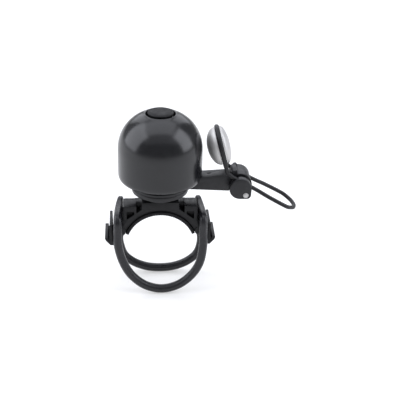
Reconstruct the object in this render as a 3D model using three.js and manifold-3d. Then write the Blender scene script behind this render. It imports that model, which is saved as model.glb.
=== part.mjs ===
// Bicycle bell for a 31.8 mm handlebar: a domed gong on a small base, a sprung wire lever with a lens-shaped
// hammer at its side, and a saddle that a stretched rubber ring holds onto the bar.
// Millimetres, +Z up. The origin is on the handlebar's axis, midway along the saddle. The bar runs along Y,
// and the lever sticks out towards +X.
import * as THREE from "three";
import { mergeVertices } from "three/addons/utils/BufferGeometryUtils.js";
import Module from "manifold-3d";

const wasm = await Module();
wasm.setup();

// ---------- driving dimensions ----------
const GAP = 0.3; // clearance between pieces that touch
const BAR_R = 15.9; // 31.8 mm handlebar

// saddle and its rubber pad
const PAD_THICK = 1.5;
const PAD_HALF_ANGLE = 69; // degrees from the top, on each side
const SADDLE_HALF_LEN = 7.2;
const SADDLE_R = BAR_R + PAD_THICK + GAP;
const BLOCK_HALF = 8.6; // centre block under the base
const BLOCK_TOP = 22.6;
const WING_TOP = 20.7; // the two blocks beside it
const WING_IN = 11.2;
const WING_OUT = 17.1;
const POCKET_DEPTH = 2.6; // triangular pockets in the blocks' ends
const WEB_HALF = 2.7; // web that fills the middle of the slot beside the centre block
const RING_SEAT = 13.2; // ledge that the rubber ring lies on

// base, post and dome, on the bell's own axis
const BASE_R = 13.1;
const BASE_BOTTOM = 25.9;
const BASE_TOP = 29.4;
const BORE_R = 1.8; // clearance hole for an M3 screw
const SCREW_R = 1.5;
const SCREW_HEAD_R = 2.8;
const BASE_SCREW_FROM = 18; // underside of its head
const BASE_SCREW_TO = 40;
const HEAD_THICK = 1.3;
const TONGUE_R = 7.6; // round end of the arm, clamped between base and post
const TONGUE_TOP = 31.9;
const POST_R = 3.2;
const DOME_R = 19.4;
const DOME_BOTTOM = 32.6;
const DOME_SHOULDER = 46.6; // where the straight skirt turns into the crown
const DOME_TOP = 65.2;
const DOME_WALL = 1.4;
const CROWN_POWER = 2.1; // 2 would be an ellipse; a little more gives the squarer shoulders
const SEAT_R = 6.8; // round seat for the cap, sunk in the crown
const SEAT_Z = 61;
const LIP_TOP = 64.2; // thin lip round the seat
const CAP_R = 6.3;
const CAP_BORE_R = 4.6; // the cap is a skirt and a slightly crowned top
const POST_TOP = 57.7;

// striker hub: its axis runs along Y
const HUB_X = 37.05;
const HUB_Y = 1.5;
const HUB_Z = 28.75;
const HUB_FRONT = 8; // front face of the hub, from its middle plane
const HUB_REAR = 7.6;
const CHEEK_R = 5.2;
const COVER_R = 5.75; // the rear cover's lip, over the top of the barrel
const BARREL_R = 4.4;
const ARM_HALF_W = 3.45;
const SPRING_BORE_R = 2.2; // hollow barrel that holds the return spring
const SPRING_R = 1.65;
const SPRING_WIRE_R = 0.22;
const SPRING_TURNS = 4;
const BUSH_WIDTH = 1.2;
const PIVOT_R = 1;
const STOP_R = 0.85;
const STOP_HEAD_R = 1.3;
const STOP_X = 2.55; // stop pin, from the hub's axis
const STOP_Z = -3.25;

// lever wire and hammer
const WIRE_R = 0.95;
const WIRE_SPREAD = 5.6; // legs, each side of the hub's middle plane
const WIRE_RISE = 2.6; // how far the legs pass above the hub's axis
const FINGER_SLOPE = -29.8; // degrees; the finger loop slopes down
const FINGER_REACH = 29.6; // along the slope, from the hub's axis to the loop's end
const FINGER_HALF_W = 6.9;
const LEG_LEAN = 14.4; // degrees; the hammer leans towards the dome
const HAMMER_X = 27.9;
const HAMMER_Z = 47.7;
const HAMMER_R = 8.9;
const WIRE_LOOP_R = HAMMER_R - 0.15; // middle of the wire round the hammer
const HAMMER_INNER = 6.4; // bulge towards the dome, from the wire's plane
const HAMMER_OUTER = 4.2; // bulge away from it

// rubber ring
const RING_R = 2.05;
const RING_X = WING_OUT + 0.4 + RING_R;
const RING_Y = SADDLE_HALF_LEN + RING_R + 0.4;
const RING_SWAY = 0.8; // its lower half hangs a little to one side

// ---------- helpers ----------
const rad = THREE.MathUtils.degToRad;

// one closed solid from a geometry: positions only, shared vertices merged, faces pointing out
function solid(geometry) {
  const plain = geometry.clone();
  plain.deleteAttribute("normal");
  plain.deleteAttribute("uv");
  const merged = mergeVertices(plain, 1e-4);
  const points = merged.attributes.position.array;
  const tris = [];
  const all = merged.index.array;
  for (let i = 0; i < all.length; i += 3) {
    const [a, b, c] = [all[i], all[i + 1], all[i + 2]];
    if (a !== b && b !== c && c !== a) tris.push(a, b, c);
  }
  if (signedVolume(points, tris) < 0) tris.reverse();
  return new wasm.Manifold(new wasm.Mesh({
    numProp: 3,
    vertProperties: new Float32Array(points),
    triVerts: new Uint32Array(tris),
  }));
}

function signedVolume(points, tris) {
  const [a, b, c] = [new THREE.Vector3(), new THREE.Vector3(), new THREE.Vector3()];
  let six = 0;
  for (let i = 0; i < tris.length; i += 3) {
    a.fromArray(points, 3 * tris[i]);
    b.fromArray(points, 3 * tris[i + 1]);
    c.fromArray(points, 3 * tris[i + 2]);
    six += a.dot(b.cross(c));
  }
  return six / 6;
}

// an outline given as [x, z] points, or as a Shape, extruded along Y from y0 to y1
function alongY(outline, y0, y1, curveSegments = 12) {
  const shape = outline instanceof THREE.Shape
    ? outline : new THREE.Shape(outline.map(([x, z]) => new THREE.Vector2(x, z)));
  const geometry = new THREE.ExtrudeGeometry(shape, { depth: y1 - y0, bevelEnabled: false, curveSegments });
  geometry.rotateX(Math.PI / 2);
  geometry.translate(0, y1, 0);
  return solid(geometry);
}

// a closed [r, z] profile turned about the Z axis
function turned(profile, segments = 40) {
  const points = [...profile, profile[0]].map(([r, z]) => new THREE.Vector2(r, z));
  const geometry = new THREE.LatheGeometry(points, segments);
  geometry.rotateX(Math.PI / 2);
  return solid(geometry);
}

const rod = (r, z0, z1, segments = 24) => turned([[0, z0], [r, z0], [r, z1], [0, z1]], segments);
const tube = (rIn, rOut, z0, z1, segments = 24) =>
  turned([[rIn, z0], [rOut, z0], [rOut, z1], [rIn, z1]], segments);

// a Z-axis solid laid down along Y, with its axis through the hub plus (x, z)
const onHub = (part, x = 0, z = 0) => part.rotate([-90, 0, 0]).translate([HUB_X + x, HUB_Y, HUB_Z + z]);

function box(x0, x1, y0, y1, z0, z1) {
  const geometry = new THREE.BoxGeometry(x1 - x0, y1 - y0, z1 - z0);
  geometry.translate((x0 + x1) / 2, (y0 + y1) / 2, (z0 + z1) / 2);
  return solid(geometry);
}

// a round bar bent along a closed curve
const ringAlong = (curve, steps, r, sides) =>
  solid(new THREE.TubeGeometry(curve, steps, r, sides, true));

const mirrorX = (part) => part.mirror([1, 0, 0]);

const polar = (r, degrees) => [r * Math.cos(rad(degrees)), r * Math.sin(rad(degrees))];

// points of an arc about (cx, cz), both ends included
function arc(cx, cz, r, from, to, steps) {
  return Array.from({ length: steps + 1 }, (_, i) => {
    const [x, z] = polar(r, from + ((to - from) * i) / steps);
    return [cx + x, cz + z];
  });
}

// ---------- materials ----------
const paint = (color, roughness, metalness = 0) =>
  new THREE.MeshStandardMaterial({ color, roughness, metalness });
const glossBlack = paint(0x17181a, 0.2, 0.1);
const mouldedBlack = paint(0x1d1e20, 0.62);
const softBlack = paint(0x1a1b1d, 0.75);
const rubberBlack = paint(0x141516, 0.85);
const coatedWire = paint(0x16171a, 0.45, 0.2);
const polished = paint(0xd6d8db, 0.2, 1);
const zincPlated = paint(0xb3b6ba, 0.38, 1);

const group = new THREE.Group();
group.name = "bicycle_bell";

function add(name, part, material) {
  const { vertProperties, triVerts } = part.getMesh();
  const geometry = new THREE.BufferGeometry();
  geometry.setAttribute("position", new THREE.BufferAttribute(new Float32Array(vertProperties), 3));
  geometry.setIndex(new THREE.BufferAttribute(new Uint32Array(triVerts), 1));
  geometry.computeVertexNormals();
  const mesh = new THREE.Mesh(geometry, material);
  mesh.name = name;
  group.add(mesh);
}

// ---------- mount saddle ----------
// the right half's outline, from the top of the bar's arch round to the centre block
function saddleHalf() {
  const tip = 90 - PAD_HALF_ANGLE;
  return [
    [0, BLOCK_TOP],
    ...arc(0, 0, SADDLE_R, 90, tip, 10),
    [17.3, 5.6], // inner edge of the wing plate
    [17.8, 0.4],
    [23.4, 0.4],
    [25.6, 2.9], // chamfered lower corner
    [26.1, 4.3], // outer fin
    [24.4, 4.3],
    [24.2, 2.9],
    [23.6, 2.9], // slot between the fins
    [23.7, 11.2],
    [22.4, 11.2], // inner fin
    [22.2, 3.4],
    [21.4, 3.4],
    [21.3, RING_SEAT], // ledge for the ring
    [WING_OUT + 0.2, RING_SEAT],
    [WING_OUT, WING_TOP],
    [WING_IN, WING_TOP + 0.2],
    [WING_IN, 17.2], // slot beside the centre block
    [BLOCK_HALF, 19.3],
    [BLOCK_HALF, BLOCK_TOP],
  ];
}

// a wedge that makes the wing block fall away at the back
function fallAway() {
  const far = SADDLE_HALF_LEN + 1;
  const outline = [[0.5, WING_TOP + 0.3], [far, 17.4], [far, WING_TOP + 1], [0.5, WING_TOP + 1]];
  const wedge = new THREE.Shape(outline.map(([y, z]) => new THREE.Vector2(y, z)));
  const geometry = new THREE.ExtrudeGeometry(wedge, { depth: 9, bevelEnabled: false });
  geometry.rotateX(Math.PI / 2); // outline in XZ, depth along -Y
  geometry.rotateZ(Math.PI / 2); // outline in YZ, depth along +X
  geometry.translate(WING_IN - 1, 0, 0);
  return solid(geometry);
}

// a wedge that turns the wing block's outer wall inward at the back, clear of the ring
function wallTurn() {
  const far = SADDLE_HALF_LEN + 1;
  const plan = [[WING_OUT + 0.2, 0], [WING_OUT + 1, 0], [WING_OUT + 1, far], [WING_OUT - 1.1, far]];
  const geometry = new THREE.ExtrudeGeometry(
    new THREE.Shape(plan.map(([x, y]) => new THREE.Vector2(x, y))),
    { depth: WING_TOP + 1 - RING_SEAT, bevelEnabled: false },
  );
  geometry.translate(0, 0, RING_SEAT);
  return solid(geometry);
}

// the triangular pocket in each end of a wing block
function pocket(y0, y1) {
  return alongY([[12.1, 18.2], [12.2, 16.5], [15.7, 13.9], [15.7, 18.2]], y0, y1);
}

function mountSaddle() {
  const half = saddleHalf();
  const otherHalf = half.slice(2, -1).map(([x, z]) => [-x, z]).reverse();
  const floor = SADDLE_HALF_LEN - POCKET_DEPTH;
  const outside = SADDLE_HALF_LEN + 1;
  const web = box(BLOCK_HALF - 0.5, WING_IN + 0.5, -WEB_HALF, WEB_HALF, 18, WING_TOP - 0.4);
  const cuts = [fallAway(), wallTurn(), pocket(-outside, -floor), pocket(floor, outside)];
  const body = alongY([...half.slice(1), [-BLOCK_HALF, BLOCK_TOP], ...otherHalf],
    -SADDLE_HALF_LEN, SADDLE_HALF_LEN);
  return [...cuts, ...cuts.map(mirrorX)]
    .reduce((rest, cut) => rest.subtract(cut), body)
    .add(web)
    .add(mirrorX(web))
    .subtract(rod(BORE_R, 10, BLOCK_TOP + 1))
    .subtract(rod(SCREW_HEAD_R + 0.4, 10, BASE_SCREW_FROM + HEAD_THICK + GAP)); // room for the screw's head
}

function saddlePad() {
  const from = 90 - PAD_HALF_ANGLE;
  const to = 90 + PAD_HALF_ANGLE;
  const outline = [
    ...arc(0, 0, BAR_R, from, to, 28),
    ...arc(0, 0, BAR_R + PAD_THICK, to, from, 28),
  ];
  return alongY(outline, -SADDLE_HALF_LEN + 0.2, SADDLE_HALF_LEN - 0.2);
}

add("mount_saddle", mountSaddle(), mouldedBlack);
add("saddle_pad", saddlePad(), rubberBlack);

// ---------- rubber ring that holds the saddle on the bar ----------
// one strand, from the saddle's edge down to the bottom, as [x, z] on the +X side
const FRONT_STRAND = [[19.9, 8], [19.9, 1], [17.9, -8.5], [13.9, -15.5], [7.7, -20.7], [0, -22.7]];
const REAR_STRAND = [[19.7, 8], [20.1, 0], [19.9, -8.5], [17.9, -14.8], [13.6, -19], [7, -21.9], [0, -22.7]];

// its bends over the saddle's edges, as [x, y, z]; the rear one stands taller and leans inward
const OVER_REAR = [[19.1, 5, 16.4], [18.6, 8, 17.1], [18.55, 9.9, 15.5], [18.9, 10.3, 12.6]];
const OVER_FRONT = [
  [RING_X + 0.2, -6.2, RING_SEAT + 2.6],
  [RING_X + 0.3, -8.6, RING_SEAT + 2.1],
  [RING_X + 0.3, -9.8, RING_SEAT],
];

function rubberRing() {
  const strand = (side, points) => points.map(([x, z]) => [x, side * RING_Y, z]);
  const rear = [...OVER_REAR, ...strand(1, REAR_STRAND)];
  const front = [...OVER_FRONT, ...strand(-1, FRONT_STRAND)];
  const mirrored = (points) => points.slice(0, -1).map(([x, y, z]) => [-x, y, z]).reverse();
  const top = [RING_X - 0.1, 0, RING_SEAT + RING_R + 0.4];
  const topLeft = [-top[0], 0, top[2]];
  const route = [top, ...rear, ...mirrored(rear), topLeft, ...mirrored(front).reverse(), ...front.reverse()];
  const sway = (z) => RING_SWAY * THREE.MathUtils.clamp((4 - z) / 14, 0, 1);
  const points = route.map(([x, y, z]) => new THREE.Vector3(x + sway(z), y, z));
  return ringAlong(new THREE.CatmullRomCurve3(points, true, "centripetal"), 88, RING_R, 9);
}

add("rubber_ring", rubberRing(), rubberBlack);

// ---------- base and the screw that holds it to the saddle ----------
add("base_body", turned([
  [BORE_R, BLOCK_TOP + GAP],
  [8.2, BLOCK_TOP + GAP],
  [8.2, BASE_BOTTOM],
  [BASE_R - 0.3, BASE_BOTTOM],
  [BASE_R, BASE_BOTTOM + 0.3],
  [BASE_R, BASE_BOTTOM + 1.8],
  [BASE_R - 0.3, BASE_BOTTOM + 2.1],
  [BASE_R - 0.3, BASE_TOP],
  [BORE_R, BASE_TOP],
], 44), mouldedBlack);
add("base_screw", turned([
  [0, BASE_SCREW_FROM],
  [SCREW_HEAD_R, BASE_SCREW_FROM],
  [SCREW_HEAD_R, BASE_SCREW_FROM + HEAD_THICK],
  [SCREW_R, BASE_SCREW_FROM + HEAD_THICK],
  [SCREW_R, BASE_SCREW_TO],
  [0, BASE_SCREW_TO],
]), zincPlated);

// ---------- striker arm: a tongue clamped over the base, a beam and the hub's barrel ----------
const ARM_START = BASE_R + GAP; // outside this the arm drops to its full depth
const ARM_END = HUB_X - 4.8; // a narrower neck goes on from here to the barrel

function strikerArm() {
  const y0 = HUB_Y - ARM_HALF_W;
  const y1 = HUB_Y + ARM_HALF_W;
  const beam = alongY([
    [ARM_START, 26.9],
    [ARM_END, 25.9],
    [ARM_END, 33.2],
    [ARM_END - 1.4, 33.9],
    [DOME_R - 0.05, 33.2], // steps down to pass under the dome's rim
    [DOME_R - 0.5, TONGUE_TOP + 0.1],
    [6, TONGUE_TOP],
    [6, BASE_TOP + GAP],
    [ARM_START, BASE_TOP + GAP],
  ], y0, y1);
  // set in from the beam's sides
  const neck = box(ARM_END - 1, HUB_X - 3, y0 + 0.9, y1 - 0.9, HUB_Z - 2, HUB_Z + 2.4);
  const barrel = onHub(rod(BARREL_R, -ARM_HALF_W, ARM_HALF_W, 36));
  const tongue = tube(BORE_R, TONGUE_R, BASE_TOP + GAP, TONGUE_TOP, 32);
  // room below the axis for the stop pin to swing in
  const swing = alongY([
    ...arc(HUB_X, HUB_Z, 2.9, -112, -24, 8),
    ...arc(HUB_X, HUB_Z, 8, -24, -112, 8),
  ], y0 - 1, y1 + 1);
  return tongue
    .add(beam)
    .add(neck)
    .add(barrel)
    .subtract(rod(BORE_R, 20, 40))
    .subtract(swing)
    .subtract(onHub(rod(SPRING_BORE_R, -6, 6)))
    .subtract(box(22, 23.6, HUB_Y - 0.3, HUB_Y + 0.3, 32.9, 35)); // small mould slot on top
}

add("striker_arm", strikerArm(), mouldedBlack);

// ---------- centre post, isolators, dome and its fixings ----------
add("centre_post", tube(BORE_R, POST_R, TONGUE_TOP + GAP, POST_TOP), zincPlated);
add("inner_isolator", tube(BORE_R, 4.4, POST_TOP + GAP, POST_TOP + 1.1), softBlack);

function crown(r, height, z0, steps) {
  return Array.from({ length: steps + 1 }, (_, i) => {
    const t = (Math.PI / 2) * (i / steps);
    return [r * Math.cos(t) ** (2 / CROWN_POWER), z0 + height * Math.sin(t) ** (2 / CROWN_POWER)];
  });
}

function dome() {
  const outside = crown(DOME_R, DOME_TOP - DOME_SHOULDER, DOME_SHOULDER, 12)
    .filter(([r]) => r > SEAT_R + 0.4);
  const inner = DOME_R - DOME_WALL;
  const inside = crown(inner, SEAT_Z - DOME_WALL - DOME_SHOULDER, DOME_SHOULDER, 9)
    .filter(([r]) => r > 5);
  return turned([
    [DOME_R - 1, DOME_BOTTOM],
    [DOME_R - 0.5, DOME_BOTTOM + 0.6],
    [DOME_R, DOME_BOTTOM + 2],
    ...outside,
    [SEAT_R, LIP_TOP],
    [SEAT_R, SEAT_Z],
    [BORE_R, SEAT_Z],
    [BORE_R, SEAT_Z - DOME_WALL],
    ...inside.reverse(),
    [inner, DOME_BOTTOM + 0.3],
    [inner + 0.3, DOME_BOTTOM],
  ], 48);
}

add("dome", dome(), glossBlack);
add("outer_isolator", tube(BORE_R, 4, SEAT_Z + GAP, SEAT_Z + 1), softBlack);
add("screw_washer", tube(BORE_R, 3.8, SEAT_Z + 1.3, SEAT_Z + 1.8), zincPlated);
add("dome_screw", turned([
  [0, POST_TOP - 8],
  [SCREW_R, POST_TOP - 8],
  [SCREW_R, SEAT_Z + 2.1],
  [SCREW_HEAD_R, SEAT_Z + 2.1],
  [SCREW_HEAD_R - 0.2, SEAT_Z + 3.1],
  [0, SEAT_Z + 3.3],
]), zincPlated);
add("dome_cap", turned([
  [CAP_BORE_R, SEAT_Z + GAP],
  [CAP_R, SEAT_Z + GAP],
  [CAP_R, LIP_TOP],
  [CAP_R - 0.5, LIP_TOP + 0.5],
  [CAP_BORE_R, LIP_TOP + 0.8],
  [0, LIP_TOP + 1.1],
  [0, LIP_TOP + 0.4],
  [CAP_BORE_R, LIP_TOP + 0.2],
], 40), softBlack);

// ---------- striker hub ----------
// cheek outline, about the hub's axis: a disc with a squared lobe round the stop pin
function cheekShape(r) {
  const shape = new THREE.Shape();
  shape.moveTo(HUB_X + r, HUB_Z);
  shape.lineTo(HUB_X + r - 0.1, HUB_Z - 3.2);
  shape.quadraticCurveTo(HUB_X + r - 0.3, HUB_Z - r, HUB_X + 3, HUB_Z - r);
  shape.lineTo(HUB_X, HUB_Z - r);
  shape.absarc(HUB_X, HUB_Z, r, -Math.PI / 2, 0, true);
  return shape;
}

// a straight slot for one leg of the wire, open towards the hub's middle
function wireSlot(side) {
  const w = WIRE_R + GAP;
  const inner = HUB_Y + side * (ARM_HALF_W - 0.5);
  const outer = HUB_Y + side * (WIRE_SPREAD + w);
  return box(-12, 12, Math.min(inner, outer), Math.max(inner, outer), WIRE_RISE - w, WIRE_RISE + w)
    .rotate([0, -FINGER_SLOPE, 0])
    .translate([HUB_X, 0, HUB_Z]);
}

const PIVOT_FRONT = HUB_FRONT - 1.7; // the pivot pin's ends, from the hub's middle plane
const PIVOT_REAR = HUB_REAR - 1.4;
const CHEEK_FACE = ARM_HALF_W + 0.35; // inner face of each cheek, from the hub's middle plane
const stopHole = () => onHub(rod(STOP_R + GAP, -12, 12), STOP_X, STOP_Z);
const STOP_HEAD = 0.6; // thickness of its head, most of it sunk in the front face
const WAIST_WIDTH = 1.1; // the front cheek is narrower next to the barrel
const WAIST_STEP = 1.7;

function frontCheek() {
  const front = HUB_Y - HUB_FRONT;
  const body = alongY(cheekShape(CHEEK_R), front, HUB_Y - CHEEK_FACE - WAIST_WIDTH, 30);
  const waist = alongY(cheekShape(CHEEK_R - WAIST_STEP), front + 1, HUB_Y - CHEEK_FACE, 30);
  const headRoom = onHub(rod(STOP_HEAD_R + GAP, -HUB_FRONT - 1, -HUB_FRONT + STOP_HEAD), STOP_X, STOP_Z);
  return body
    .add(waist)
    .subtract(wireSlot(-1))
    .subtract(stopHole())
    .subtract(headRoom)
    .subtract(onHub(rod(PIVOT_R + GAP, -PIVOT_FRONT - GAP, 0)));
}

// the rear cheek carries a lip over the top of the barrel, a nose between the wire's legs, and a lug
function rearCover() {
  const back = HUB_Y + HUB_REAR;
  const cheek = alongY(cheekShape(CHEEK_R), HUB_Y + CHEEK_FACE, back, 30);
  const lip = alongY([
    ...arc(HUB_X, HUB_Z, BARREL_R + 0.35, -8, 132, 14),
    [HUB_X - 3.7, HUB_Z + 4.9],
    [HUB_X - 3, HUB_Z + 5.5],
    ...arc(HUB_X, HUB_Z, COVER_R, 98, -8, 12),
  ], HUB_Y - ARM_HALF_W + 0.35, back);
  const nose = alongY([
    [HUB_X - 3.4, HUB_Z + 4.6],
    [HUB_X - 2, HUB_Z + 4.6],
    [HUB_X - 1.2, HUB_Z + COVER_R],
    [HUB_X - 1.4, HUB_Z + 7.6],
    [HUB_X - 3.2, HUB_Z + 7.3],
    [HUB_X - 4.2, HUB_Z + 6.6],
    [HUB_X - 4.3, HUB_Z + 5.9],
  ], HUB_Y - ARM_HALF_W + 0.35, HUB_Y + WIRE_SPREAD - WIRE_R - 0.5);
  const lug = alongY([
    [HUB_X - 3.2, HUB_Z + 5.1],
    [HUB_X, HUB_Z + 5.2],
    [HUB_X - 0.4, HUB_Z + COVER_R + 0.3],
    [HUB_X - 1, HUB_Z + COVER_R + 0.9],
    [HUB_X - 1.9, HUB_Z + COVER_R + 0.8],
  ], back - 1.4, back);
  return cheek
    .add(lip)
    .add(nose)
    .add(lug)
    .subtract(wireSlot(1))
    .subtract(stopHole())
    .subtract(onHub(rod(PIVOT_R + GAP, 0, PIVOT_REAR + GAP)));
}

add("hub_front_cheek", frontCheek(), mouldedBlack);
add("hub_rear_cover", rearCover(), mouldedBlack);
add("pivot_pin", onHub(rod(PIVOT_R, -PIVOT_FRONT, PIVOT_REAR, 20)), zincPlated);
add("stop_pin", onHub(turned([
  [0, -HUB_FRONT - 0.1],
  [STOP_HEAD_R, -HUB_FRONT - 0.1],
  [STOP_HEAD_R, -HUB_FRONT + STOP_HEAD - GAP],
  [STOP_R, -HUB_FRONT + STOP_HEAD - GAP],
  [STOP_R, HUB_REAR],
  [0, HUB_REAR],
]), STOP_X, STOP_Z), polished);
const bush = (y) => onHub(tube(PIVOT_R + GAP, 1.9, y, y + BUSH_WIDTH));
add("pivot_bush_front", bush(-ARM_HALF_W), mouldedBlack);
add("pivot_bush_rear", bush(ARM_HALF_W - BUSH_WIDTH), mouldedBlack);

function torsionSpring() {
  const half = ARM_HALF_W - BUSH_WIDTH - SPRING_WIRE_R - GAP;
  const steps = SPRING_TURNS * 10;
  const points = Array.from({ length: steps + 1 }, (_, i) => {
    const t = i / steps;
    const [x, z] = polar(SPRING_R, 360 * SPRING_TURNS * t);
    return new THREE.Vector3(HUB_X + x, HUB_Y + (2 * t - 1) * half, HUB_Z + z);
  });
  const section = new THREE.Shape().absarc(0, 0, SPRING_WIRE_R, 0, 2 * Math.PI);
  return solid(new THREE.ExtrudeGeometry(section, {
    steps,
    curveSegments: 3,
    bevelEnabled: false,
    extrudePath: new THREE.CatmullRomCurve3(points),
  }));
}

add("torsion_spring", torsionSpring(), zincPlated);

// ---------- wire lever: finger loop, two legs through the hub, and the loop round the hammer ----------
// Leg frames, as [x, z] directions: down the finger slope, and up the hammer's lean.
const down = polar(1, FINGER_SLOPE);
const up = [-Math.sin(rad(LEG_LEAN)), Math.cos(rad(LEG_LEAN))];

function leverWire() {
  const onFinger = (s, y) => new THREE.Vector3(
    HUB_X + s * down[0] - WIRE_RISE * down[1],
    HUB_Y + y,
    HUB_Z + s * down[1] + WIRE_RISE * down[0],
  );
  const onHammer = (s, y) => new THREE.Vector3(HAMMER_X + s * up[0], HUB_Y + y, HAMMER_Z + s * up[1]);
  const side = (sign) => [
    onFinger(FINGER_REACH - 5, sign * FINGER_HALF_W),
    onFinger(14, sign * (FINGER_HALF_W - 0.2)),
    onFinger(7, sign * WIRE_SPREAD),
    onFinger(0, sign * WIRE_SPREAD),
    onFinger(-5.2, sign * WIRE_SPREAD),
    onFinger(-6.8, sign * WIRE_SPREAD).add(new THREE.Vector3(0, 0, 0.3)),
    onHammer(-11.8, sign * (WIRE_SPREAD + 0.1)),
    onHammer(-10.2, sign * (WIRE_SPREAD + 0.5)),
  ];
  const round = Array.from({ length: 11 }, (_, i) => {
    const [y, s] = polar(WIRE_LOOP_R, -40 + 26 * i);
    return onHammer(s, y);
  });
  const end = Array.from({ length: 5 }, (_, i) => {
    const [s, y] = polar(FINGER_HALF_W, -60 + 30 * i);
    return onFinger(FINGER_REACH - FINGER_HALF_W + s, y);
  });
  const route = [...side(1), ...round, ...side(-1).reverse(), ...end];
  return ringAlong(new THREE.CatmullRomCurve3(route, true, "centripetal"), 104, WIRE_R, 8);
}

add("lever_wire", leverWire(), coatedWire);

// ---------- hammer: two pressed shells either side of the wire, on a core ----------
// built on the Z axis with the wire's plane at z = 0, then leaned and moved into place
const inPlace = (part) => part.rotate([0, 90 - LEG_LEAN, 0]).translate([HAMMER_X, HUB_Y, HAMMER_Z]);
const SHELL_START = WIRE_R + GAP;

function lens(bulge) {
  const steps = 7;
  const profile = Array.from({ length: steps + 1 }, (_, i) => {
    const t = (Math.PI / 2) * (i / steps);
    return [HAMMER_R * Math.cos(t), SHELL_START + (bulge - SHELL_START) * Math.sin(t)];
  });
  return turned([[0, SHELL_START], ...profile.slice(0, -1), [0, bulge]], 36);
}

add("hammer_inner_half", inPlace(lens(HAMMER_INNER).mirror([0, 0, 1])), polished);
add("hammer_outer_half", inPlace(lens(HAMMER_OUTER)), polished);
add("hammer_core", inPlace(rod(WIRE_LOOP_R - WIRE_R - 2 * GAP, -WIRE_R, WIRE_R, 32)), softBlack);

export default group;
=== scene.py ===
"""Looks of a handlebar bell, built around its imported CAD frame.

Lengths in this file are millimetres. The origin is on the handlebar's axis, the bar runs along Y, +Z points up
through the dome and the lever sticks out towards +X.
"""

import math

import bmesh
import bpy
from mathutils import Matrix, Vector


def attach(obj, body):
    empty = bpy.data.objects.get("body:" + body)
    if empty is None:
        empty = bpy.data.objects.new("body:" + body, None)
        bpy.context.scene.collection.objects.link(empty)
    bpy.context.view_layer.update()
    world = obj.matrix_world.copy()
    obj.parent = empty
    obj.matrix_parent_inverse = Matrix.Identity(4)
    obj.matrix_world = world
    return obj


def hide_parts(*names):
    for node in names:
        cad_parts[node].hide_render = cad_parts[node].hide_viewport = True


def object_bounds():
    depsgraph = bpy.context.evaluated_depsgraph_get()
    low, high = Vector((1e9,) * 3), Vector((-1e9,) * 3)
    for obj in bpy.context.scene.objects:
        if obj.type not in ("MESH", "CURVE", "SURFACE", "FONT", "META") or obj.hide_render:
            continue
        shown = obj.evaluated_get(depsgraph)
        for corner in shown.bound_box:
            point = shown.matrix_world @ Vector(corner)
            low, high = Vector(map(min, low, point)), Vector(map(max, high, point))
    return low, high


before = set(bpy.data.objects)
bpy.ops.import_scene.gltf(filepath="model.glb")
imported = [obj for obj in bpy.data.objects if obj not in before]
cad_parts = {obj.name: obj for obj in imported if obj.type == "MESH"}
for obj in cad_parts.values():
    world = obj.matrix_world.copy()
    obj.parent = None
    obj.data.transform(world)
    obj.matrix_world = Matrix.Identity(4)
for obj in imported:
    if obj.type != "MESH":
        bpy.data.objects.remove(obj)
CAD_BOX = [list(corner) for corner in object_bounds()]

MM = 0.001
SCENE = bpy.context.scene

# ---------- dimensions, as in the CAD ----------
GAP = 0.3
BAR_R = 15.9
PAD_THICK = 1.5
PAD_HALF_ANGLE = 69
SADDLE_HALF_LEN = 7.2
SADDLE_R = BAR_R + PAD_THICK + GAP
BLOCK_HALF = 8.6
BLOCK_TOP = 22.6
WING_TOP = 20.7
WING_IN = 11.2
WING_OUT = 17.1
RING_SEAT = 13.2
WEB_HALF = 2.7
POCKET_DEPTH = 2.6
BAND_DEPTH = 0.85
SCREW_ROOM_R = 3.2
SCREW_ROOM_TOP = 19.6
BASE_R = 13.1
BASE_BOTTOM = 25.9
BASE_TOP = 29.4
BORE_R = 1.8
TONGUE_R = 7.6
TONGUE_TOP = 31.9
DOME_R = 19.4
DOME_BOTTOM = 32.6
DOME_SHOULDER = 46.6
DOME_TOP = 65.2
DOME_WALL = 1.4
CROWN_POWER = 2.1
SEAT_R = 6.8
SEAT_Z = 61
LIP_TOP = 64.2
CAP_R = 6.3
CAP_BORE_R = 4.6
HUB = (37.05, 1.5, 28.75)
HUB_FRONT = 8
HUB_REAR = 7.6
CHEEK_R = 5.2
COVER_R = 5.75
BARREL_R = 4.4
ARM_HALF_W = 3.45
CHEEK_FACE = ARM_HALF_W + 0.35
PIVOT_R = 1
STOP_R = 0.85
STOP_HEAD_R = 1.3
STOP_AT = (2.55, -3.25)
WIRE_R = 0.95
WIRE_SPREAD = 5.6
WIRE_RISE = 2.6
FINGER_SLOPE = -29.8
FINGER_REACH = 29.6
FINGER_HALF_W = 6.9
LEG_LEAN = 14.4
HAMMER_AT = (27.9, 1.5, 47.7)
HAMMER_R = 8.9
WIRE_LOOP_R = HAMMER_R - 0.15
HAMMER_INNER = 6.4
HAMMER_OUTER = 4.2
SLEEVE_FROM = 38
SLEEVE_TO = 41
SLEEVE_THICK = 0.2
SHELL_START = WIRE_R + GAP
RING_R = 2.05
RING_X = WING_OUT + 0.4 + RING_R
RING_Y = SADDLE_HALF_LEN + RING_R + 0.4
RING_SWAY = 0.8


# ---------- outlines ----------
def polar(r, degrees):
    return r * math.cos(math.radians(degrees)), r * math.sin(math.radians(degrees))


def arc(cx, cz, r, start, end, steps):
    points = (polar(r, start + (end - start) * i / steps) for i in range(steps + 1))
    return [(cx + x, cz + z) for x, z in points]


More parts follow.
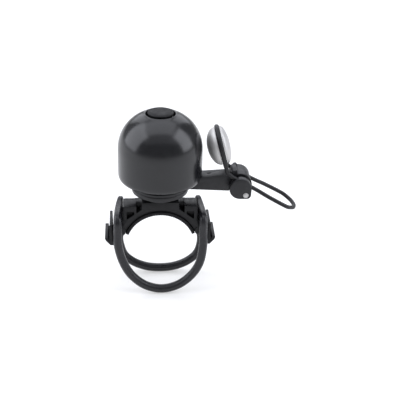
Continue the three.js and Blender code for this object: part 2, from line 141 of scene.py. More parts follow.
def rounded(outline, radius, steps=4, sharp=25):
    """The outline with each corner sharper than a few degrees turned on a small radius."""
    out = []
    for i, here in enumerate(outline):
        p, q, r = Vector(outline[i - 1]), Vector(here), Vector(outline[(i + 1) % len(outline)])
        a, b = (p - q), (r - q)
        turn = 180 - math.degrees(a.angle(b))
        if turn < sharp:
            out.append(tuple(q))
            continue
        half = math.radians(180 - turn) / 2
        back = min(radius / math.tan(half), 0.45 * a.length, 0.45 * b.length)
        start, end = q + a.normalized() * back, q + b.normalized() * back
        for k in range(steps + 1):
            t = k / steps
            point = start * (1 - t) ** 2 + q * (2 * t * (1 - t)) + end * t**2
            out.append(tuple(point))
    return out


# ---------- meshes ----------
def new_object(name, bm, smooth_angle=40):
    """A linked object from a bmesh in millimetres, its normals outwards and its sharp edges marked."""
    bmesh.ops.remove_doubles(bm, verts=bm.verts, dist=1e-5)
    bmesh.ops.recalc_face_normals(bm, faces=bm.faces)
    bmesh.ops.scale(bm, vec=(MM, MM, MM), verts=bm.verts)
    mesh = bpy.data.meshes.new(name)
    bm.to_mesh(mesh)
    bm.free()
    mesh.shade_smooth()
    mesh.set_sharp_from_angle(angle=math.radians(smooth_angle))
    obj = bpy.data.objects.new(name, mesh)
    SCENE.collection.objects.link(obj)
    return obj


def loft(layers):
    """A bmesh skinned over XZ outlines of the same number of points, each given with its y."""
    bm = bmesh.new()
    rows = [[bm.verts.new((x, y, z)) for x, z in outline] for outline, y in layers]
    bm.faces.new(rows[0])
    bm.faces.new(list(reversed(rows[-1])))
    for near, far in zip(rows, rows[1:]):
        for i in range(len(near)):
            k = (i + 1) % len(near)
            bm.faces.new((near[k], near[i], far[i], far[k]))
    return bm


def prism(outline, y0, y1):
    """A bmesh of an XZ outline extruded along Y."""
    return loft([(outline, y0), (outline, y1)])


def lathe(profile, segments=96, place=Matrix()):
    """A bmesh of a closed [r, z] profile turned about Z. Points on the axis are shared."""
    bm = bmesh.new()
    rings = []
    for r, z in profile:
        if r < 1e-6:
            rings.append([bm.verts.new((0, 0, z))] * segments)
        else:
            spots = (polar(r, 360 * i / segments) for i in range(segments))
            rings.append([bm.verts.new((x, y, z)) for x, y in spots])
    for a, b in zip(rings, rings[1:] + rings[:1]):
        for i in range(segments):
            k = (i + 1) % segments
            corners = list(dict.fromkeys((a[i], a[k], b[k], b[i])))
            if len(corners) > 2:
                bm.faces.new(corners)
    bm.transform(place)
    return bm


def centripetal(points, per_span):
    """Points along a closed centripetal Catmull-Rom curve."""
    out = []
    n = len(points)
    pts = [Vector(p) for p in points]
    for i in range(n):
        p0, p1, p2, p3 = pts[i - 1], pts[i], pts[(i + 1) % n], pts[(i + 2) % n]
        d0, d1, d2 = (math.sqrt((b - a).length) for a, b in ((p0, p1), (p1, p2), (p2, p3)))
        m1 = ((p1 - p0) / d0 - (p2 - p0) / (d0 + d1) + (p2 - p1) / d1) * d1
        m2 = ((p2 - p1) / d1 - (p3 - p1) / (d1 + d2) + (p3 - p2) / d2) * d1
        steps = max(2, round(per_span * (p2 - p1).length))
        for k in range(steps):
            t = k / steps
            out.append(
                p1 * (2 * t**3 - 3 * t**2 + 1)
                + m1 * (t**3 - 2 * t**2 + t)
                + p2 * (3 * t**2 - 2 * t**3)
                + m2 * (t**3 - t**2)
            )
    return out


def sweep(path, section, first_normal):
    """A bmesh of a closed tube. section(i, angle) gives its radius, the angle counted from the carried normal."""
    n = len(path)
    tangents = [(path[(i + 1) % n] - path[i - 1]).normalized() for i in range(n)]
    normals = [(first_normal - tangents[0] * first_normal.dot(tangents[0])).normalized()]
    for i in range(1, n + 1):
        turn = tangents[i - 1].rotation_difference(tangents[i % n])
        normals.append((turn @ normals[-1]).normalized())
    t0, start, end = tangents[0], normals[0], normals.pop()
    twist = math.atan2(t0.dot(start.cross(end)), start.dot(end))
    bm = bmesh.new()
    rings = []
    for i in range(n):
        out = Matrix.Rotation(-twist * i / n, 3, tangents[i]) @ normals[i]
        side = tangents[i].cross(out)
        ring = []
        for angle, r in section(i):
            c, s = math.cos(angle), math.sin(angle)
            ring.append(bm.verts.new(path[i] + (out * c + side * s) * r))
        rings.append(ring)
    for i in range(n):
        a, b = rings[i], rings[(i + 1) % n]
        for k in range(len(a)):
            j = (k + 1) % len(a)
            bm.faces.new((a[k], a[j], b[j], b[k]))
    return bm


def carve(obj, cutters, operation="DIFFERENCE"):
    """Cuts each bmesh from the object, or joins it on."""
    for cutter in cutters:
        other = new_object("cutter", cutter)
        cut = obj.modifiers.new("cut", "BOOLEAN")
        cut.operation = operation
        cut.solver = "EXACT"
        cut.object = other
        settle(obj)
        mesh = other.data
        bpy.data.objects.remove(other)
        bpy.data.meshes.remove(mesh)
    return obj


def settle(obj):
    """Applies the object's modifiers to its mesh."""
    bpy.context.view_layer.update()
    evaluated = obj.evaluated_get(bpy.context.evaluated_depsgraph_get())
    old, new = obj.data, bpy.data.meshes.new_from_object(evaluated)
    obj.modifiers.clear()
    obj.data = new
    new.name = obj.name
    bpy.data.meshes.remove(old)
    return obj


def soften(obj, width, segments=2, angle=32):
    """Rounds the object's sharp edges."""
    bm = bmesh.new()
    bm.from_mesh(obj.data)
    bmesh.ops.remove_doubles(bm, verts=bm.verts, dist=0.02 * MM)
    flat = math.radians(1)
    bmesh.ops.dissolve_limit(bm, angle_limit=flat, verts=bm.verts, edges=bm.edges)
    bm.to_mesh(obj.data)
    bm.free()
    bevel = obj.modifiers.new("soften", "BEVEL")
    bevel.width = width * MM
    bevel.segments = segments
    bevel.limit_method = "ANGLE"
    bevel.angle_limit = math.radians(angle)
    bevel.use_clamp_overlap = True
    bevel.miter_outer = "MITER_ARC"
    settle(obj)
    obj.data.shade_smooth()
    obj.data.set_sharp_from_angle(angle=math.radians(30))
    return obj


# ---------- materials ----------
def material(name, base, roughness, metallic=0.0, **extra):
    """A Principled material and its node tree, to be finished by the calls below."""
    mat = bpy.data.materials.new(name)
    mat.use_nodes = True
    shader = mat.node_tree.nodes["Principled BSDF"]
    shader.inputs["Base Color"].default_value = (*base, 1)
    shader.inputs["Roughness"].default_value = roughness
    shader.inputs["Metallic"].default_value = metallic
    for socket, value in extra.items():
        shader.inputs[socket.replace("_", " ")].default_value = value
    return mat


def noise_of(mat, size, detail=3.0, stretch=(1, 1, 1), lumps=0.5):
    """A noise field with features about size millimetres across, as a value socket."""
    tree = mat.node_tree
    coords = tree.nodes.new("ShaderNodeTexCoord")
    mapping = tree.nodes.new("ShaderNodeMapping")
    field = tree.nodes.new("ShaderNodeTexNoise")
    mapping.inputs["Scale"].default_value = [s / (size * MM) for s in stretch]
    field.inputs["Scale"].default_value = 1
    field.inputs["Detail"].default_value = detail
    field.inputs["Roughness"].default_value = lumps
    tree.links.new(coords.outputs["Object"], mapping.inputs["Vector"])
    tree.links.new(mapping.outputs["Vector"], field.inputs["Vector"])
    return field.outputs["Fac"]


def ramp(mat, field, low, high, start, end):
    """The field mapped from low..high to start..end, colours or numbers."""
    tree = mat.node_tree
    colours = not isinstance(start, (int, float))
    node = tree.nodes.new("ShaderNodeMapRange")
    node.data_type = "FLOAT_VECTOR" if colours else "FLOAT"
    tree.links.new(field, node.inputs["Vector" if colours else "Value"])
    for key, value in (("From Min", low), ("From Max", high), ("To Min", start), ("To Max", end)):
        sockets = [s for s in node.inputs if s.name.replace(" ", "_").upper() == key.replace(" ", "_").upper()]
        socket = sockets[-1] if colours else sockets[0]
        socket.default_value = (value,) * 3 if colours and isinstance(value, (int, float)) else value
    return node.outputs["Vector" if colours else "Result"]


def tint(mat, field, dark, light, low=0.35, high=0.65):
    mat.node_tree.links.new(
        ramp(mat, field, low, high, dark, light), mat.node_tree.nodes["Principled BSDF"].inputs["Base Color"]
    )


def vary_roughness(mat, field, least, most, low=0.35, high=0.65):
    mat.node_tree.links.new(
        ramp(mat, field, low, high, least, most), mat.node_tree.nodes["Principled BSDF"].inputs["Roughness"]
    )


def bump(mat, *layers):
    """Stacks bump layers, each (height field, depth in mm)."""
    tree = mat.node_tree
    normal = None
    for field, depth in layers:
        node = tree.nodes.new("ShaderNodeBump")
        node.inputs["Distance"].default_value = depth * MM
        node.inputs["Strength"].default_value = 1
        tree.links.new(field, node.inputs["Height"])
        if normal:
            tree.links.new(normal, node.inputs["Normal"])
        normal = node.outputs["Normal"]
    tree.links.new(normal, tree.nodes["Principled BSDF"].inputs["Normal"])


def gloss_black():
    mat = material("gloss_black_paint", (0.007, 0.0073, 0.009), 0.22)
    tint(mat, noise_of(mat, 7), (0.006, 0.0063, 0.0078), (0.0085, 0.0089, 0.0108))
    vary_roughness(mat, noise_of(mat, 3.5, 5), 0.2, 0.245)
    bump(mat, (noise_of(mat, 1.4, 2), 0.004), (noise_of(mat, 0.22, 2), 0.0012))
    return mat


def moulded(name, base, roughness, grain=0.2, depth=0.012, specular=0.5):
    """Matt moulded plastic: a spark-eroded grain, slight flow marks and a little uneven sheen."""
    mat = material(name, base, roughness, Specular_IOR_Level=specular)
    dark = tuple(0.82 * c for c in base)
    light = tuple(1.22 * c for c in base)
    tint(mat, noise_of(mat, 2.6, 5, lumps=0.6), dark, light)
    vary_roughness(mat, noise_of(mat, 1.7, 4), roughness - 0.06, roughness + 0.07)
    bump(mat, (noise_of(mat, 1.9, 2), 0.02), (noise_of(mat, grain, 3, lumps=0.6), depth))
    return mat


def rubber(name, base, roughness, dust, specular=0.45):
    """Rubber with a soft mottled skin and pale dust in it."""
    mat = material(name, base, roughness, Specular_IOR_Level=specular)
    light = tuple(c * dust for c in base)
    tint(mat, noise_of(mat, 1.1, 6, lumps=0.7), base, light, 0.4, 0.72)
    vary_roughness(mat, noise_of(mat, 1.5, 4), roughness - 0.08, roughness + 0.08)
    bump(mat, (noise_of(mat, 1.2, 3), 0.025), (noise_of(mat, 0.3, 3, lumps=0.65), 0.014))
    return mat


def metal(name, base, roughness, stretch, scratch=0.004):
    """Plated metal with fine directional polishing marks and faint smudges."""
    mat = material(name, base, roughness, 1.0)
    dark = tuple(0.9 * c for c in base)
    tint(mat, noise_of(mat, 5, 3), dark, base)
    vary_roughness(mat, noise_of(mat, 2.4, 5, lumps=0.6), roughness * 0.85, roughness * 1.2)
    bump(mat, (noise_of(mat, 0.3, 3, stretch), scratch))
    return mat


def satin_steel():
    """Bright steel with an even satin sheen, faint clouding and a very fine grain."""
    mat = material("polished_steel", (0.57, 0.565, 0.56), 0.62, 1.0)
    tint(mat, noise_of(mat, 6, 2), (0.55, 0.545, 0.54), (0.59, 0.585, 0.58))
    vary_roughness(mat, noise_of(mat, 5, 2), 0.6, 0.64)
    bump(mat, (noise_of(mat, 0.12, 2), 0.0004))
    return mat


LOOK = {
    "gloss_black_paint": gloss_black(),
    "moulded_black": moulded("moulded_black", (0.012, 0.0122, 0.0142), 0.42, specular=0.38),
    "cap_black": moulded("cap_black", (0.005, 0.0052, 0.0062), 0.5, 0.16, 0.006, 0.18),
    "soft_black": rubber("soft_black", (0.022, 0.022, 0.024), 0.62, 1.4),
    "saddle": moulded("saddle_black", (0.006, 0.0061, 0.0074), 0.38, specular=0.26),
    "pad_rubber": rubber("pad_rubber", (0.006, 0.006, 0.007), 0.66, 1.8, 0.25),
    "ring_rubber": rubber("ring_rubber", (0.008, 0.008, 0.0102), 0.34, 1.8, 0.42),
    "coated_wire": moulded("coated_wire", (0.007, 0.0071, 0.0084), 0.42, 0.25, 0.006, 0.34),
    "polished_steel": satin_steel(),
    "zinc_steel": metal("zinc_steel", (0.6, 0.61, 0.64), 0.34, (1, 1, 4), 0.008),
}


def finish_piece(obj, body, node, slot, look=None):
    """Gives the piece its material and body, and hides the CAD node it stands for."""
    obj.data.materials.clear()
    obj.data.materials.append(look or LOOK[slot])
    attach(obj, body)
    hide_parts(node)
    return obj


# ---------- camera ----------
AZIMUTH, ELEVATION, ROLL = -5.063, 27.687, 1.683
DISTANCE = 427.58
TARGET = Vector((18.852, 0, 20.15))
SENSOR = 36
FOCAL = 81.63


def add_camera():
    az, el, roll = (math.radians(a) for a in (AZIMUTH, ELEVATION, ROLL))
    back = Vector((math.sin(az) * math.cos(el), -math.cos(az) * math.cos(el), math.sin(el)))
    right = Vector((0, 0, 1)).cross(back).normalized()
    up = back.cross(right)
    tilted_right = right * math.cos(roll) + up * math.sin(roll)
    tilted_up = up * math.cos(roll) - right * math.sin(roll)
    data = bpy.data.cameras.new("camera")
    data.sensor_width = SENSOR
    data.lens = FOCAL
    data.clip_start = 0.01
    camera = bpy.data.objects.new("camera", data)
    turn = Matrix((tilted_right, tilted_up, back)).transposed().to_4x4()
    camera.matrix_world = Matrix.Translation((TARGET + back * DISTANCE) * MM) @ turn
    SCENE.collection.objects.link(camera)
    SCENE.camera = camera


add_camera()


# ---------- floor and light ----------
LAMP_COLOUR = (0.95, 0.97, 1.04)
LAMP_AIM = Vector((10, 0, 35))
FLOOR_HALF = 14000


def add_floor():
    size, z = FLOOR_HALF, CAD_BOX[0][2] / MM - 0.05
    bm = bmesh.new()
    bm.faces.new([bm.verts.new((x * size, y * size, z)) for x, y in ((-1, -1), (1, -1), (1, 1), (-1, 1))])
    floor = new_object("studio_floor", bm)
    mat = material("pale_floor", (0.5, 0.5, 0.5), 0.9, Emission_Color=(1, 1, 1, 1), Emission_Strength=0.46)
    tint(mat, noise_of(mat, 300, 2), (0.49, 0.49, 0.49), (0.51, 0.51, 0.51))
    floor.data.materials.append(mat)


def add_softbox(name, azimuth, elevation, distance, width, height, radiance):
    """A rectangular lamp that faces the bell. The azimuth is counted from the camera's side."""
    az, el = math.radians(azimuth), math.radians(elevation)
    away = Vector((math.sin(az) * math.cos(el), -math.cos(az) * math.cos(el), math.sin(el)))
    data = bpy.data.lights.new(name, "AREA")
    data.shape = "RECTANGLE"
    data.size = width * MM
    data.size_y = height * MM
    data.energy = radiance * math.pi * width * height * MM**2
    data.color = LAMP_COLOUR
    lamp = bpy.data.objects.new(name, data)
    turn = away.to_track_quat("Z", "Y").to_matrix().to_4x4()
    lamp.matrix_world = Matrix.Translation((LAMP_AIM + away * distance) * MM) @ turn
    SCENE.collection.objects.link(lamp)


def add_lights():
    world = bpy.data.worlds.new("studio")
    world.use_nodes = True
    background = world.node_tree.nodes["Background"]
    background.inputs["Color"].default_value = (0.97, 0.98, 1, 1)
    background.inputs["Strength"].default_value = 0.28
    SCENE.world = world
    add_softbox("softbox_left", -95, 30, 900, 900, 980, 2.7)
    add_softbox("softbox_right", 79, 29, 900, 600, 860, 3.3)
    add_softbox("softbox_back", 178, 34, 1100, 1500, 900, 1.5)
    add_softbox("softbox_top", 180, 86, 950, 1100, 860, 1.3)
    add_softbox("softbox_sky", 0, 78, 1000, 2000, 1500, 0.4)


add_floor()
add_lights()
SCENE.view_settings.view_transform = "Standard"


# ---------- dome and cap ----------
def crown(r, height, z0, steps):
    out = []
    for i in range(steps + 1):
        t = math.pi / 2 * i / steps
        power = 2 / CROWN_POWER
        out.append((r * math.cos(t) ** power, z0 + height * math.sin(t) ** power))
    return out


def dome_shell():
    outside = [p for p in crown(DOME_R, DOME_TOP - DOME_SHOULDER, DOME_SHOULDER, 56) if p[0] > SEAT_R + 1]
    inner = DOME_R - DOME_WALL
    inside = [p for p in crown(inner, SEAT_Z - DOME_WALL - DOME_SHOULDER, DOME_SHOULDER, 40) if p[0] > 5]
    rim = [(DOME_R - 1.3, DOME_BOTTOM), (DOME_R - 0.95, DOME_BOTTOM + 0.12), (DOME_R - 0.62, DOME_BOTTOM + 0.4)]
    rim += [(DOME_R - 0.35, DOME_BOTTOM + 0.85), (DOME_R - 0.15, DOME_BOTTOM + 1.45)]
    rim += [(DOME_R - 0.04, DOME_BOTTOM + 2.15), (DOME_R, DOME_BOTTOM + 2.9), (DOME_R, 39)]
    lip = [(SEAT_R + 0.85, LIP_TOP - 0.3), (SEAT_R + 0.7, LIP_TOP - 0.17), (SEAT_R + 0.5, LIP_TOP - 0.05)]
    lip += [(SEAT_R + 0.32, LIP_TOP), (SEAT_R + 0.15, LIP_TOP - 0.03), (SEAT_R + 0.03, LIP_TOP - 0.15)]
    lip += [(SEAT_R, LIP_TOP - 0.35)]
    seat = [(SEAT_R, SEAT_Z + 0.3), (SEAT_R - 0.3, SEAT_Z), (BORE_R, SEAT_Z), (BORE_R, SEAT_Z - DOME_WALL)]
    hem = [(inner, DOME_BOTTOM + 0.35), (inner + 0.03, DOME_BOTTOM + 0.1), (inner + 0.08, DOME_BOTTOM)]
    return new_object("dome_shell", lathe([*rim, *outside, *lip, *seat, *reversed(inside), *hem], 160))


def cap_button():
    wall, rim = CAP_R - 0.95, CAP_R - 0.4
    top = [(wall, LIP_TOP + 0.1), (rim - 0.1, LIP_TOP + 0.2), (rim, LIP_TOP + 0.3), (rim, LIP_TOP + 0.42)]
    top += [(rim - 0.1, LIP_TOP + 0.6), (rim - 0.32, LIP_TOP + 0.74), (5.15, LIP_TOP + 0.82), (5.03, LIP_TOP + 0.72)]
    top += [(4.85, LIP_TOP + 0.7), (4.7, LIP_TOP + 0.78), (3.6, LIP_TOP + 0.84), (1.8, LIP_TOP + 0.86)]
    top += [(0, LIP_TOP + 0.87)]
    under = [(0, LIP_TOP + 0.3), (CAP_BORE_R, LIP_TOP + 0.15), (CAP_BORE_R, SEAT_Z + GAP), (wall, SEAT_Z + GAP)]
    return new_object("cap_button", lathe([*top, *under], 120), 28)


finish_piece(dome_shell(), "bell", "dome", "gloss_black_paint")
finish_piece(cap_button(), "bell", "dome_cap", "cap_black")


# ---------- base ----------
def base_ring():
    profile = [
        (BORE_R, BLOCK_TOP + GAP),
        (7.95, BLOCK_TOP + GAP),
        (8.2, BLOCK_TOP + GAP + 0.25),
        (8.2, BASE_BOTTOM - 0.15),
        (8.35, BASE_BOTTOM),
        (BASE_R - 0.45, BASE_BOTTOM),
        (BASE_R - 0.22, BASE_BOTTOM + 0.07),
        (BASE_R - 0.07, BASE_BOTTOM + 0.22),
        (BASE_R, BASE_BOTTOM + 0.45),
        (BASE_R, BASE_BOTTOM + 1.6),
        (BASE_R - 0.02, BASE_BOTTOM + 1.85),
        (BASE_R - 0.14, BASE_BOTTOM + 2.05),
        (BASE_R - 0.3, BASE_BOTTOM + 2.14),
        (BASE_R - 0.3, BASE_TOP - 0.3),
        (BASE_R - 0.55, BASE_TOP),
        (BORE_R, BASE_TOP),
    ]
    return new_object("base_ring", lathe(profile, 128), 28)


finish_piece(base_ring(), "bell", "base_body", "moulded_black")


# ---------- saddle, pad and rubber ring ----------
def saddle_half():
    tip = 90 - PAD_HALF_ANGLE
    fins = [
        (17.3, 5.6), (17.8, 0.4), (23.4, 0.4), (25.6, 2.9), (26.1, 4.3), (24.4, 4.3), (24.2, 2.9), (23.6, 2.9),
        (23.7, 11.2), (22.4, 11.2), (22.2, 3.4), (21.4, 3.4), (21.3, RING_SEAT), (WING_OUT + 0.2, RING_SEAT),
        (WING_OUT, WING_TOP), (WING_IN, WING_TOP + 0.2), (WING_IN, 17.2), (BLOCK_HALF, 19.3),
        (BLOCK_HALF, BLOCK_TOP),
    ]
    return [*arc(0, 0, SADDLE_R, 90, tip, 24), *fins]


def mirrored(outline):
    return [(-x, z) for x, z in reversed(outline)]


def both_sides(outline, y0, y1):
    return [prism(outline, y0, y1), prism(mirrored(outline), y0, y1)]


def wedge(outlines):
    """A bmesh between two four-sided outlines."""
    bm = bmesh.new()
    ends = [[bm.verts.new(point) for point in outline] for outline in outlines]
    bm.faces.new(ends[0])
    bm.faces.new(list(reversed(ends[1])))
    for i in range(4):
        k = (i + 1) % 4
        bm.faces.new((ends[0][k], ends[0][i], ends[1][i], ends[1][k]))
    return bm


def fall_away(side):
    """A wedge that makes the wing block's top fall away at the back."""
    far = SADDLE_HALF_LEN + 1
    section = [(0.5, WING_TOP + 0.3), (far, 17.4), (far, WING_TOP + 1), (0.5, WING_TOP + 1)]
    return wedge([[(side * x, y, z) for y, z in section] for x in (WING_IN - 1, WING_IN + 8)])


def wall_turn(side):
    """A wedge that turns the wing block's outer wall inward at the back, clear of the ring."""
    far = SADDLE_HALF_LEN + 1
    plan = [(WING_OUT + 0.2, 0), (WING_OUT + 1, 0), (WING_OUT + 1, far), (WING_OUT - 1.1, far)]
    return wedge([[(side * x, y, z) for x, y in plan] for z in (RING_SEAT, WING_TOP + 1)])


def saddle_body():
    half = saddle_half()
    outline = rounded([*half, *mirrored(half[1:])], 0.3, 3)
    obj = new_object("saddle_body", prism(outline, -SADDLE_HALF_LEN, SADDLE_HALF_LEN))
    out = SADDLE_HALF_LEN + 1
    floor = SADDLE_HALF_LEN - POCKET_DEPTH
    step = SADDLE_HALF_LEN - BAND_DEPTH
    pocket = rounded([(12.1, 18.2), (12.2, 16.5), (15.7, 13.9), (15.7, 18.2)], 0.35, 3)
    band = arc(0, 0, SADDLE_R - 0.6, 90, 24, 20)
    band += [(17.1, 9.4), (16.5, 11.6), (15.75, 12.9), (8.3, 18.75), (0, 18.75)]
    cuts = [fall_away(1), fall_away(-1), wall_turn(1), wall_turn(-1)]
    for y0, y1 in ((-out, -floor), (floor, out)):
        cuts += both_sides(pocket, y0, y1)
    for y0, y1 in ((-out, -step), (step, out)):
        cuts.append(prism([*band[:-1], *mirrored(band[1:-1])], y0, y1))
    cuts.append(lathe([(0, 10), (BORE_R, 10), (BORE_R, BLOCK_TOP + 1), (0, BLOCK_TOP + 1)], 32))
    cuts.append(lathe([(0, 10), (SCREW_ROOM_R, 10), (SCREW_ROOM_R, SCREW_ROOM_TOP), (0, SCREW_ROOM_TOP)], 40))
    near, far, top = BLOCK_HALF - 0.5, WING_IN + 0.5, WING_TOP - 0.4
    web = [(near, 18), (far, 18), (far, top), (near, top)]
    return soften(carve(carve(obj, cuts), both_sides(web, -WEB_HALF, WEB_HALF), "UNION"), 0.2)


def pad_liner():
    """The liner in the arch, with fine ribs along the bar on its inner face."""
    start, end = 90 - PAD_HALF_ANGLE, 90 + PAD_HALF_ANGLE
    ribs = 34
    inner = []
    for i in range(ribs * 6 + 1):
        t = i / (ribs * 6)
        lift = 0.11 * (0.5 - 0.5 * math.cos(2 * math.pi * ribs * t)) ** 0.7
        inner.append(polar(BAR_R + 0.11 - lift, start + (end - start) * t))
    outer = arc(0, 0, BAR_R + PAD_THICK, end, start, 60)
    half = SADDLE_HALF_LEN - 0.2
    obj = new_object("pad_liner", prism([*inner, *outer], -half, half))
    return soften(obj, 0.09, 2, 60)


FRONT_STRAND = [(19.9, 8), (19.9, 1), (17.9, -8.5), (13.9, -15.5), (7.7, -20.7), (0, -22.7)]
REAR_STRAND = [(19.7, 8), (20.1, 0), (19.9, -8.5), (17.9, -14.8), (13.6, -19), (7, -21.9), (0, -22.7)]


OVER_REAR = [(19.1, 5, 16.4), (18.6, 8, 17.1), (18.55, 9.9, 15.5), (18.9, 10.3, 12.6)]
OVER_FRONT = [
    (RING_X + 0.2, -6.2, RING_SEAT + 2.6), (RING_X + 0.3, -8.6, RING_SEAT + 2.1), (RING_X + 0.3, -9.8, RING_SEAT),
]


def ring_route():
    """The ring's middle line, from the bottom of the rear strand up and over the +X side."""
    def strand(side, points):
        return [(x, side * RING_Y, z) for x, z in points]

    rear = [*OVER_REAR, *strand(1, REAR_STRAND)]
    front = [*OVER_FRONT, *strand(-1, FRONT_STRAND)]
    top = (RING_X - 0.1, 0, RING_SEAT + RING_R + 0.4)
    right = [*reversed(rear), top, *front]
    left = [(-x, y, z) for x, y, z in reversed(right[1:-1])]
    route = [*right, *left]
    return [(x + RING_SWAY * min(max((4 - z) / 14, 0), 1), y, z) for x, y, z in route]


def ring_section(point):
    """A round section, slimmer where the ring is stretched over the saddle, with a parting line on each side."""
    slim = min(max((point.z - 8) / 8, 0), 1)
    behind = min(max(point.y / 7, 0), 1)
    r = RING_R * (1 - (0.08 + 0.22 * behind) * slim)
    sides = 48
    out = []
    for k in range(sides):
        angle = 2 * math.pi * k / sides
        near = min(angle % math.pi, math.pi - angle % math.pi)
        groove = 0.22 * math.exp(-((near / 0.13) ** 2))
        out.append((angle, r - groove))
    return out


def holding_ring():
    path = centripetal(ring_route(), 2.2)
    bm = sweep(path, lambda i: ring_section(path[i]), Vector((0, -1, 0)))
    return new_object("holding_ring", bm, 80)


finish_piece(saddle_body(), "bell", "mount_saddle", "moulded_black", LOOK["saddle"])
finish_piece(pad_liner(), "bell", "saddle_pad", "pad_rubber")
finish_piece(holding_ring(), "bell", "rubber_ring", "ring_rubber")


# ---------- striker arm and hub ----------
def at_hub(dx=0.0, dz=0.0):
    """Lays a part built on Z along Y, on the hub's axis or beside it."""
    return Matrix.Translation((HUB[0] + dx, HUB[1], HUB[2] + dz)) @ Matrix.Rotation(math.radians(-90), 4, "X")


def rod(r, z0, z1, segments=48, place=Matrix()):
    return lathe([(0, z0), (r, z0), (r, z1), (0, z1)], segments, place)


def arm_beam():
    y0, y1 = HUB[1] - ARM_HALF_W, HUB[1] + ARM_HALF_W
    start, end = BASE_R + GAP, HUB[0] - 4.8
    outline = rounded([
        (start, 26.9), (end, 25.9), (end, 33.2), (end - 1.4, 33.9), (DOME_R - 0.05, 33.2),
        (DOME_R - 0.5, TONGUE_TOP + 0.1), (6, TONGUE_TOP), (6, BASE_TOP + GAP), (start, BASE_TOP + GAP),
    ], 0.4, 4, 20)
    neck = [(end - 1, HUB[2] - 2), (HUB[0] - 3, HUB[2] - 2), (HUB[0] - 3, HUB[2] + 2.4), (end - 1, HUB[2] + 2.4)]
    obj = new_object("arm_beam", prism(outline, y0, y1))
    joins = [
        prism(neck, y0 + 0.9, y1 - 0.9),
        rod(BARREL_R, -ARM_HALF_W, ARM_HALF_W, 72, at_hub()),
        rod(TONGUE_R, BASE_TOP + GAP, TONGUE_TOP, 72),
    ]
    hub_x, hub_z = HUB[0], HUB[2]
    swing = [*arc(hub_x, hub_z, 2.9, -112, -24, 16), *arc(hub_x, hub_z, 8, -24, -112, 16)]
    cuts = [
        rod(BORE_R, 20, 40),
        prism(swing, y0 - 1, y1 + 1),
        rod(2.2, -6, 6, 40, at_hub()),
        slot_on_top(),
    ]
    return soften(carve(carve(obj, joins, "UNION"), cuts), 0.2)


def slot_on_top():
    """A fine moulding slot in the beam's top face."""
    return prism([(22, 32.9), (23.6, 32.9), (23.6, 35), (22, 35)], HUB[1] - 0.3, HUB[1] + 0.3)


def cheek_outline(r):
    x, z = HUB[0], HUB[2]
    corner, tip = Vector((x + r - 0.3, z - r)), []
    start, end = Vector((x + r - 0.1, z - 3.2)), Vector((x + 3, z - r))
    for k in range(9):
        t = k / 8
        tip.append(tuple(start * (1 - t) ** 2 + corner * (2 * t * (1 - t)) + end * t**2))
    return [*tip, *arc(x, z, r, -90, -360, 60)]


def wire_slot(side):
    w = WIRE_R + GAP
    inner = HUB[1] + side * (ARM_HALF_W - 0.5)
    outer = HUB[1] + side * (WIRE_SPREAD + w)
    y0, y1 = sorted((inner, outer))
    box = [(-12, WIRE_RISE - w), (12, WIRE_RISE - w), (12, WIRE_RISE + w), (-12, WIRE_RISE + w)]
    bm = prism(box, y0, y1)
    turn = Matrix.Translation((HUB[0], 0, HUB[2])) @ Matrix.Rotation(math.radians(-FINGER_SLOPE), 4, "Y")
    bm.transform(turn)
    return bm


def stop_hole():
    return rod(STOP_R + 0.12, -12, 12, 40, at_hub(*STOP_AT))


def front_cheek():
    """A disc with a wide turned rim on its face, standing off from the barrel on a narrower waist."""
    front, back = HUB[1] - HUB_FRONT, HUB[1] - CHEEK_FACE
    rim = [(0.62, 0), (0.4, 0.05), (0.18, 0.2), (0.05, 0.42), (0, 0.7)]
    layers = [(cheek_outline(CHEEK_R - step), front + depth) for step, depth in rim]
    layers += [(cheek_outline(CHEEK_R), back - 1.3), (cheek_outline(CHEEK_R - 0.2), back - 1.1)]
    layers += [(cheek_outline(CHEEK_R - 1.7), back - 1.1), (cheek_outline(CHEEK_R - 1.7), back)]
    obj = new_object("cheek_front", loft(layers))
    head_room = rod(STOP_HEAD_R + 0.12, -HUB_FRONT - 1, -HUB_FRONT + 0.6, 40, at_hub(*STOP_AT))
    pivot = rod(PIVOT_R + GAP, -HUB_FRONT + 1.4, 0, 32, at_hub())
    return soften(carve(obj, [wire_slot(-1), stop_hole(), head_room, pivot]), 0.12, 2)


def rear_cover():
    back = HUB[1] + HUB_REAR
    x, z = HUB[0], HUB[2]
    obj = new_object("cover_rear", prism(cheek_outline(CHEEK_R), HUB[1] + CHEEK_FACE, back))
    lip = [*arc(x, z, BARREL_R + 0.35, -8, 132, 34), (x - 3.7, z + 4.9), (x - 3, z + 5.5)]
    lip += arc(x, z, COVER_R, 98, -8, 28)
    lug = rounded([
        (x - 3.2, z + 5.1), (x, z + 5.2), (x - 0.4, z + COVER_R + 0.3), (x - 1, z + COVER_R + 0.9),
        (x - 1.9, z + COVER_R + 0.8),
    ], 0.3, 3)
    nose = rounded([
        (x - 3.4, z + 4.6), (x - 2, z + 4.6), (x - 1.2, z + COVER_R), (x - 1.4, z + 7.6), (x - 3.2, z + 7.3),
        (x - 4.2, z + 6.6), (x - 4.3, z + 5.9),
    ], 0.25, 3)
    joins = [
        prism(lip, HUB[1] - ARM_HALF_W + 0.35, back),
        prism(nose, HUB[1] - ARM_HALF_W + 0.35, HUB[1] + WIRE_SPREAD - WIRE_R - 0.5),
        prism(lug, back - 1.4, back),
    ]
    pivot = rod(PIVOT_R + GAP, 0, HUB_REAR - 1.1, 32, at_hub())
    cuts = [wire_slot(1), stop_hole(), pivot]
    return soften(carve(carve(obj, joins, "UNION"), cuts), 0.3, 3)


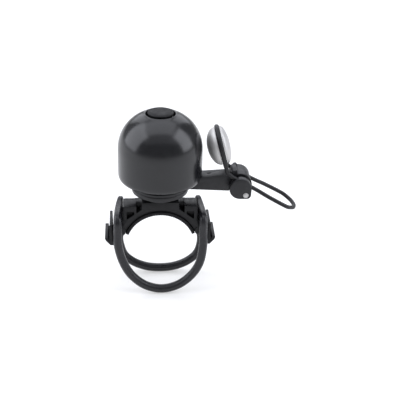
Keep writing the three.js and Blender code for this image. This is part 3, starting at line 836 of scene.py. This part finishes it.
def stop_rivet():
    """The bright pin through both cheeks, with a low domed head sunk in the front one."""
    front, rear = -HUB_FRONT - 0.1, HUB_REAR
    r, head = STOP_R, STOP_HEAD_R
    profile = [(0, front), (0.5 * head, front + 0.02), (0.85 * head, front + 0.09), (head, front + 0.24)]
    profile += [(head, front + 0.4), (r, front + 0.4), (r, rear - 0.25), (0.85 * r, rear - 0.06), (0, rear)]
    return new_object("stop_rivet", lathe(profile, 56, at_hub(*STOP_AT)))


finish_piece(arm_beam(), "bell", "striker_arm", "moulded_black")
finish_piece(front_cheek(), "lever", "hub_front_cheek", "moulded_black")
finish_piece(rear_cover(), "lever", "hub_rear_cover", "moulded_black")
finish_piece(stop_rivet(), "lever", "stop_pin", "polished_steel")


# ---------- wire lever and hammer ----------
def wire_route():
    down = polar(1, FINGER_SLOPE)
    lean = math.radians(LEG_LEAN)
    up = (-math.sin(lean), math.cos(lean))

    def on_finger(s, y, lift=0.0):
        x = HUB[0] + s * down[0] - WIRE_RISE * down[1]
        return x, HUB[1] + y, HUB[2] + s * down[1] + WIRE_RISE * down[0] + lift

    def on_hammer(s, y):
        return HAMMER_AT[0] + s * up[0], HUB[1] + y, HAMMER_AT[2] + s * up[1]

    def side(sign):
        return [
            on_finger(FINGER_REACH - 5, sign * FINGER_HALF_W),
            on_finger(14, sign * (FINGER_HALF_W - 0.2)),
            on_finger(7, sign * WIRE_SPREAD),
            on_finger(0, sign * WIRE_SPREAD),
            on_finger(-5.2, sign * WIRE_SPREAD),
            on_finger(-6.8, sign * WIRE_SPREAD, 0.3),
            on_hammer(-11.8, sign * (WIRE_SPREAD + 0.1)),
            on_hammer(-10.2, sign * (WIRE_SPREAD + 0.5)),
        ]

    loop = [on_hammer(s, y) for y, s in (polar(WIRE_LOOP_R, -40 + 26 * i) for i in range(11))]
    bend = [polar(FINGER_HALF_W, -60 + 30 * i) for i in range(5)]
    end = [on_finger(FINGER_REACH - FINGER_HALF_W + s, y) for s, y in bend]
    return [*side(1), *loop, *reversed(side(-1)), *end]


def striker_wire():
    """The wire, with a thin sleeve on the loop that holds the hammer."""
    path = centripetal(wire_route(), 2.6)
    sides = 28

    def section(i):
        sleeve = min(max((path[i].z - SLEEVE_FROM) / (SLEEVE_TO - SLEEVE_FROM), 0), 1)
        r = WIRE_R + SLEEVE_THICK * sleeve * sleeve * (3 - 2 * sleeve)
        return [(2 * math.pi * k / sides, r) for k in range(sides)]

    return new_object("striker_wire", sweep(path, section, Vector((0, 0, 1))), 80)


def in_place():
    """Leans a part built on Z with the wire's plane at z = 0, and moves it to the hammer's place."""
    return Matrix.Translation(HAMMER_AT) @ Matrix.Rotation(math.radians(90 - LEG_LEAN), 4, "Y")


def lens(name, bulge, side):
    steps = 26
    dome = []
    for i in range(steps + 1):
        t = math.pi / 2 * i / steps
        dome.append((HAMMER_R * math.cos(t), SHELL_START + (bulge - SHELL_START) * math.sin(t)))
    profile = [(0, SHELL_START), (HAMMER_R - 0.25, SHELL_START), (HAMMER_R - 0.06, SHELL_START + 0.06)]
    profile += [*dome[2:-1], (0, bulge)]
    return new_object(name, lathe([(r, side * z) for r, z in profile], 128, in_place()))


finish_piece(striker_wire(), "lever", "lever_wire", "coated_wire")
finish_piece(lens("hammer_face", HAMMER_INNER, -1), "lever", "hammer_inner_half", "polished_steel")
finish_piece(lens("hammer_back", HAMMER_OUTER, 1), "lever", "hammer_outer_half", "polished_steel")

# ---------- CAD nodes that stay as they are ----------
KEPT = {
    "zinc_steel": ["base_screw", "centre_post", "screw_washer", "dome_screw", "pivot_pin", "torsion_spring"],
    "soft_black": ["inner_isolator", "outer_isolator"],
    "moulded_black": ["pivot_bush_front", "pivot_bush_rear", "hammer_core"],
}
for slot_name, nodes in KEPT.items():
    for node_name in nodes:
        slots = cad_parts[node_name].material_slots
        for material_slot in slots:
            material_slot.material = LOOK[slot_name]

# ---------- last update ---
bpy.context.view_layer.update()
